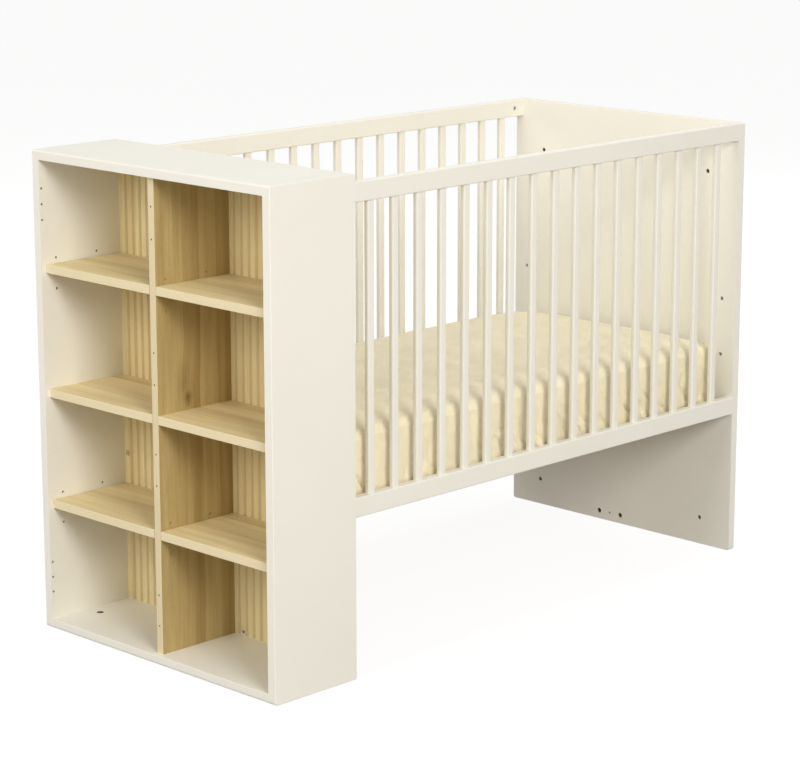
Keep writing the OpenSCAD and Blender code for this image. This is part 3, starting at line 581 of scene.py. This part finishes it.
def fill_out(piece):
    """Draws the swollen form most of the way to the CAD solid's surface, so that it keeps its edges."""
    tree = BVHTree.FromObject(NODES["mattress"], bpy.context.evaluated_depsgraph_get())
    points = coordinates(piece.data)
    nearest = np.array([tree.find_nearest(Vector(p))[0] for p in points])
    set_coordinates(piece.data, points + FILL_SHARE * (nearest - points))


def waviness(a, b, seed):
    """A smooth, repeatable unevenness between about -1 and 1."""
    turn = np.random.default_rng(seed).uniform(0, 2 * math.pi, 5)
    total = np.sin(a * 1.0 + b * 0.7 + turn[0]) + 0.8 * np.sin(a * 2.3 - b * 1.1 + turn[1])
    total += 0.6 * np.sin(a * 3.9 + b * 2.3 + turn[2]) + 0.45 * np.sin(a * 6.1 - b * 3.7 + turn[3])
    return (total + 0.3 * np.sin(a * 9.7 + b * 5.3 + turn[4])) / 2.0


def pleats(along, rise):
    """Depth of the loose upright pleats, strongest on the upper half of a side."""
    strength = np.clip(0.5 + 0.7 * waviness(along * 9.0, rise * 1.2, seed=3), 0.05, 1.2)
    phase = along * 2 * math.pi / PLEAT_SPACING + PLEAT_DRIFT * waviness(along * 8.0, rise * 1.1, seed=5)
    reach = np.clip(0.45 + 2.6 * rise, 0, 1) * np.clip(1.3 - rise, 0, 1)
    return PLEAT_DEPTH * (0.5 + 0.5 * np.sin(phase)) ** 1.6 * strength * reach


def draws(along, rise, height):
    """Depth of the thin slanting draws near the lower edge."""
    slant = (along + DRAW_SLANT * height) * 2 * math.pi / DRAW_SPACING
    ridge = (0.5 + 0.5 * np.sin(slant + DRAW_DRIFT * waviness(along * 7.0, rise * 3.0, seed=7))) ** 4
    near_low = np.clip(1.25 - 2.1 * rise, 0, 1) * np.clip(0.3 + 6.0 * rise, 0, 1)
    strength = np.clip(0.9 + waviness(along * 5.0, rise * 2.0, seed=9), 0.25, 1.1)
    return DRAW_DEPTH * ridge * near_low * strength


def wrinkle(piece, lo, hi):
    """Pleats and draws on the sides, a barely uneven top, and top corners that droop."""
    mesh = piece.data
    points, normals = coordinates(mesh), vertex_normals(mesh)
    lo, hi = np.array(lo), np.array(hi)
    height = points[:, 2] - lo[2]
    rise = np.clip(height / (hi[2] - lo[2]), 0, 1)
    on_long_side = np.abs(normals[:, 1]) > np.abs(normals[:, 0])
    along = np.where(on_long_side, points[:, 0], points[:, 1] + NEXT_SIDE)
    fine = FINE_DEPTH * (0.5 + 0.5 * waviness(along * 30.0, rise * 4.0, seed=13))
    side_depth = pleats(along, rise) + draws(along, rise, height) + fine
    offset = points[:, :2] - (lo + hi)[:2] / 2
    top_depth = TOP_DEPTH * (0.5 + 0.5 * waviness(offset[:, 0] * 9.0, offset[:, 1] * 12.0, seed=11))
    side = np.clip(np.hypot(normals[:, 0], normals[:, 1]), 0, 1) ** SIDE_FADE
    top = np.clip(normals[:, 2], 0, 1)
    points -= normals * (side * side_depth + top * top_depth)[:, None]
    to_corner = np.hypot(*((hi - lo)[:2] / 2 - np.abs(offset)).T)
    droop = DROOP_DEPTH * np.clip(1 - to_corner / DROOP_REACH, 0, 1) ** 1.4 * np.clip(2 * rise - 1, 0, 1)
    points[:, 2] = np.clip(points[:, 2] - droop, lo[2] + FLOOR_CLEARANCE, hi[2])
    draw_tight(points, lo, hi)
    set_coordinates(mesh, points)


def draw_tight(points, lo, hi):
    """Holds the sheet's lowest part out against the mattress's edge, where its elastic draws it tight."""
    core = (hi - lo)[:2] / 2 - CORNER_R
    offset = points[:, :2] - (lo + hi)[:2] / 2
    beyond = np.abs(offset) - core
    in_corner = (beyond > 0).all(axis=1)
    round_corner = np.maximum(beyond, 0)
    straight = beyond[:, :1] > beyond[:, 1:]
    outward = np.where(in_corner[:, None], round_corner, np.hstack([straight, ~straight]))
    outward = outward / np.linalg.norm(outward, axis=1, keepdims=True) * np.sign(offset)
    inset = CORNER_R - np.where(in_corner, np.linalg.norm(round_corner, axis=1), beyond.max(axis=1))
    height = points[:, 2] - lo[2]
    loosening = np.clip((height - TIGHT_HEIGHT) / LOOSENING_HEIGHT, 0, 1)
    allowed = EDGE_GAP + HEM_GAP * np.exp(-height / HEM_HEIGHT) + LOOSE_GAP * loosening
    push = np.maximum(inset - allowed, 0) * np.clip((TIGHT_REACH - inset) / TIGHT_FADE, 0, 1)
    points[:, :2] += outward * push[:, None]


def corner_seams(piece, lo, hi, material):
    """A thin sewn ridge down each corner, laid on the sheet."""
    tree = BVHTree.FromObject(piece, bpy.context.evaluated_depsgraph_get())
    made = []
    for index, (sx, sy) in enumerate(((-1, -1), (1, -1), (1, 1), (-1, 1))):
        hub_x = (hi[0] if sx > 0 else lo[0]) - sx * CORNER_R
        hub_y = (hi[1] if sy > 0 else lo[1]) - sy * CORNER_R
        outward = Vector((sx, sy, 0)).normalized()
        path = []
        for step in range(SEAM_STEPS + 1):
            z = lo[2] + SEAM_FOOT + (hi[2] - lo[2] - SEAM_SHORTER) * step / SEAM_STEPS
            start = Vector((hub_x, hub_y, z)) + outward * SEAM_CAST
            path.append(tree.ray_cast(start, -outward)[0])
        seam = tube("sheet_seam_%d" % (index + 1), path, SEAM_RADIUS, SEAM_SIDES)
        seam.data.materials.append(material)
        made.append(seam)
    return made


def make_mattress(material):
    """The mattress in its fitted sheet, grown from the CAD solid that it stands for."""
    lo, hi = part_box("mattress")
    piece = loose_form(lo, hi)
    puff(piece, lo[2] + SHEET_SHRINK / 2)
    smooth = piece.modifiers.new("smooth", "SUBSURF")
    smooth.levels = smooth.render_levels = 1
    apply_modifiers(piece)
    settle(piece, lo, hi)
    fill_out(piece)
    wrinkle(piece, lo, hi)
    piece.data.materials.clear()
    piece.data.materials.append(material)
    piece.data.shade_smooth()
    for made in [piece] + corner_seams(piece, lo, hi, material):
        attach(made, "mattress")
    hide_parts("mattress")


# ---------------------------------------------------------------- the scene
make_camera()
make_lights()
make_world()
make_floor()
sheet_material = finish_nodes()
make_mattress(sheet_material)
bpy.context.scene.view_settings.view_transform = "Standard"
